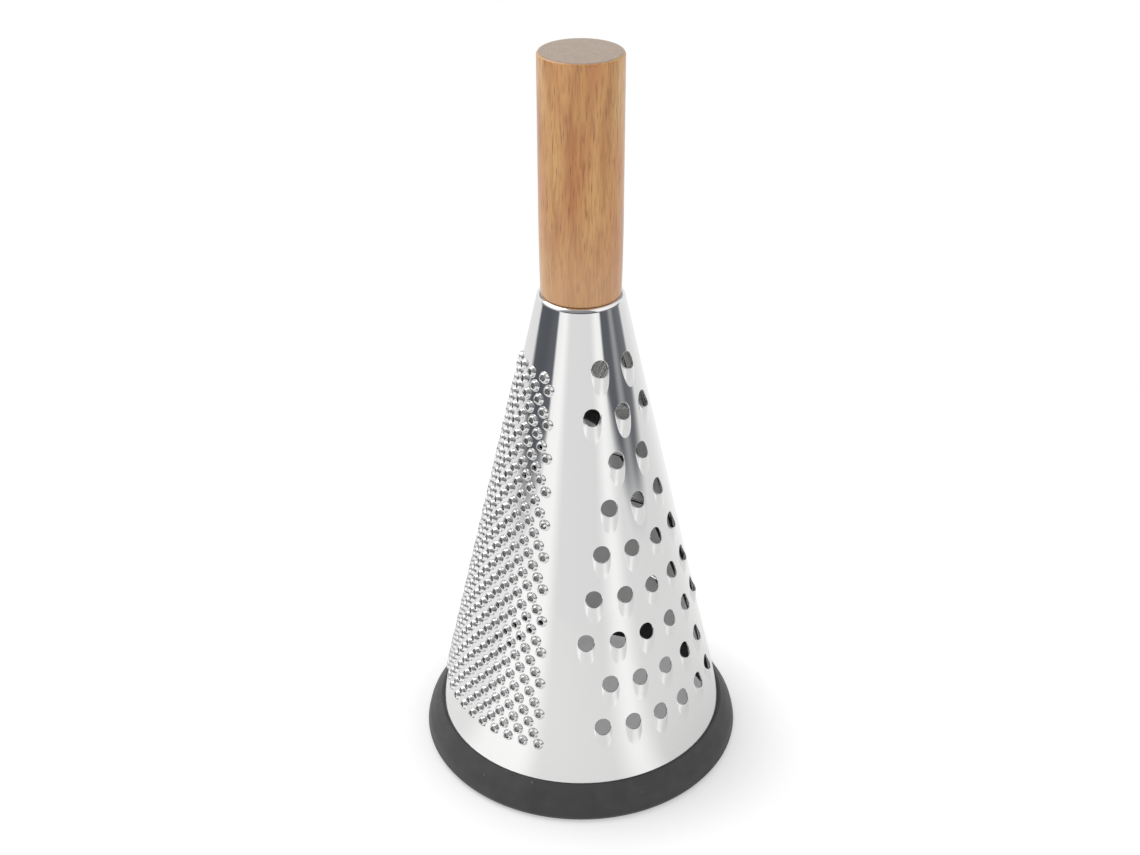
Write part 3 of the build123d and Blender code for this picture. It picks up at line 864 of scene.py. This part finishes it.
# Tones by direction: the angle round the upright axis, from the front, looked up in a ramp of the tones given.
def directionTones(tree, parts, tones):
    angle = calculated(tree, "ARCTAN2", parts["X"], calculated(tree, "MULTIPLY", parts["Y"], -1.0))
    ramp = newNode(tree, "ValToRGB", {"Fac": ranged(tree, angle, -pi, pi)})
    ramp.color_ramp.interpolation = "EASE"
    for number, (direction, tone) in enumerate(tones):
        position = (direction + 180.0) / 360.0
        stop = ramp.color_ramp.elements[number] if number < 2 else ramp.color_ramp.elements.new(position)
        stop.position = position
        slate = studio["slate"] * (1 - tone)
        stop.color = (tone, tone + studio["slateGreen"] * slate, tone + slate, 1.0)
    return ramp.outputs["Color"]


# The floor: plain, with light added where the camera or the metal sees it. Less is added at the ring, a painted
# shadow round it, and less under the object, a painted shade inside the cone.
floorPaint, tree, shader = newMaterial("floorPaint", (studio["floorColour"],) * 3, 0.0, studio["floorRoughness"],
                                       Specular_IOR_Level=studio["floorGloss"], Emission_Color=1.0)
place = objectPlace(tree)
rays = newNode(tree, "LightPath", {}).outputs
tones = directionTones(tree, axisParts(tree, place), studio["lowTones"])
spare = calculated(tree, "SUBTRACT", tones, studio["floorColour"] * studio["floorLight"], use_clamp=True)
forGloss = calculated(tree, "MULTIPLY", spare, rays["Is Glossy Ray"])
fromMiddle = distanceFrom(tree, place)
near, far = (radius * mm for radius in studio["fartherOut"])
# Less light added at the ring than farther out: a painted shadow round the ring.
lifts = ranged(tree, fromMiddle, near, far, *studio["floorLifts"], easing=True)
added = calculated(tree, "MULTIPLY_ADD", rays["Is Camera Ray"], lifts, forGloss)
# Less of the added light under the object: painted shade on the floor inside the cone.
near, far = (radius * mm for radius in studio["underEdge"])
left = ranged(tree, fromMiddle, near, far, low=studio["floorUnder"], easing=True)
tree.links.new(calculated(tree, "MULTIPLY", added, left), shader.inputs["Emission Strength"])
floorMesh.materials.append(floorPaint)

# The room: plain white behind the object, even light on it, and tones by direction for what its metal reflects.
world = bpy.data.worlds.new("room")
bpy.context.scene.world = world
world.use_nodes = True
tree = world.node_tree
parts = axisParts(tree, newNode(tree, "TexCoord", {}).outputs["Generated"])
rays = newNode(tree, "LightPath", {}).outputs
height = calculated(tree, "MULTIPLY_ADD", calculated(tree, "ABSOLUTE", parts["X"]), studio["sideDrop"], parts["Z"])
reflected = directionTones(tree, parts, studio["lowTones"])
for low, high, name in studio["changes"]:
    tones = studio[name] if isinstance(studio[name], float) else directionTones(tree, parts, studio[name])
    reflected = mixedColour(tree, ranged(tree, height, low, high, easing=True), reflected, tones)
    height = parts["Z"]
lit = mixedColour(tree, rays["Is Glossy Ray"], studio["roomLight"], reflected)
tree.links.new(mixedColour(tree, rays["Is Camera Ray"], lit, 1.0), tree.nodes["Background"].inputs["Color"])

lampData = bpy.data.lights.new("softbox", "AREA")
lampData.shape = "DISK"
lampData.size = studio["lampSize"] * mm
lampData.energy = studio["lampPower"]
lamp = newObject("softbox", lampData)
lamp.location = [length * mm for length in studio["lampPlace"]]
lamp.rotation_euler = (-lamp.location).to_track_quat("-Z", "Y").to_euler()
print("studio lit")
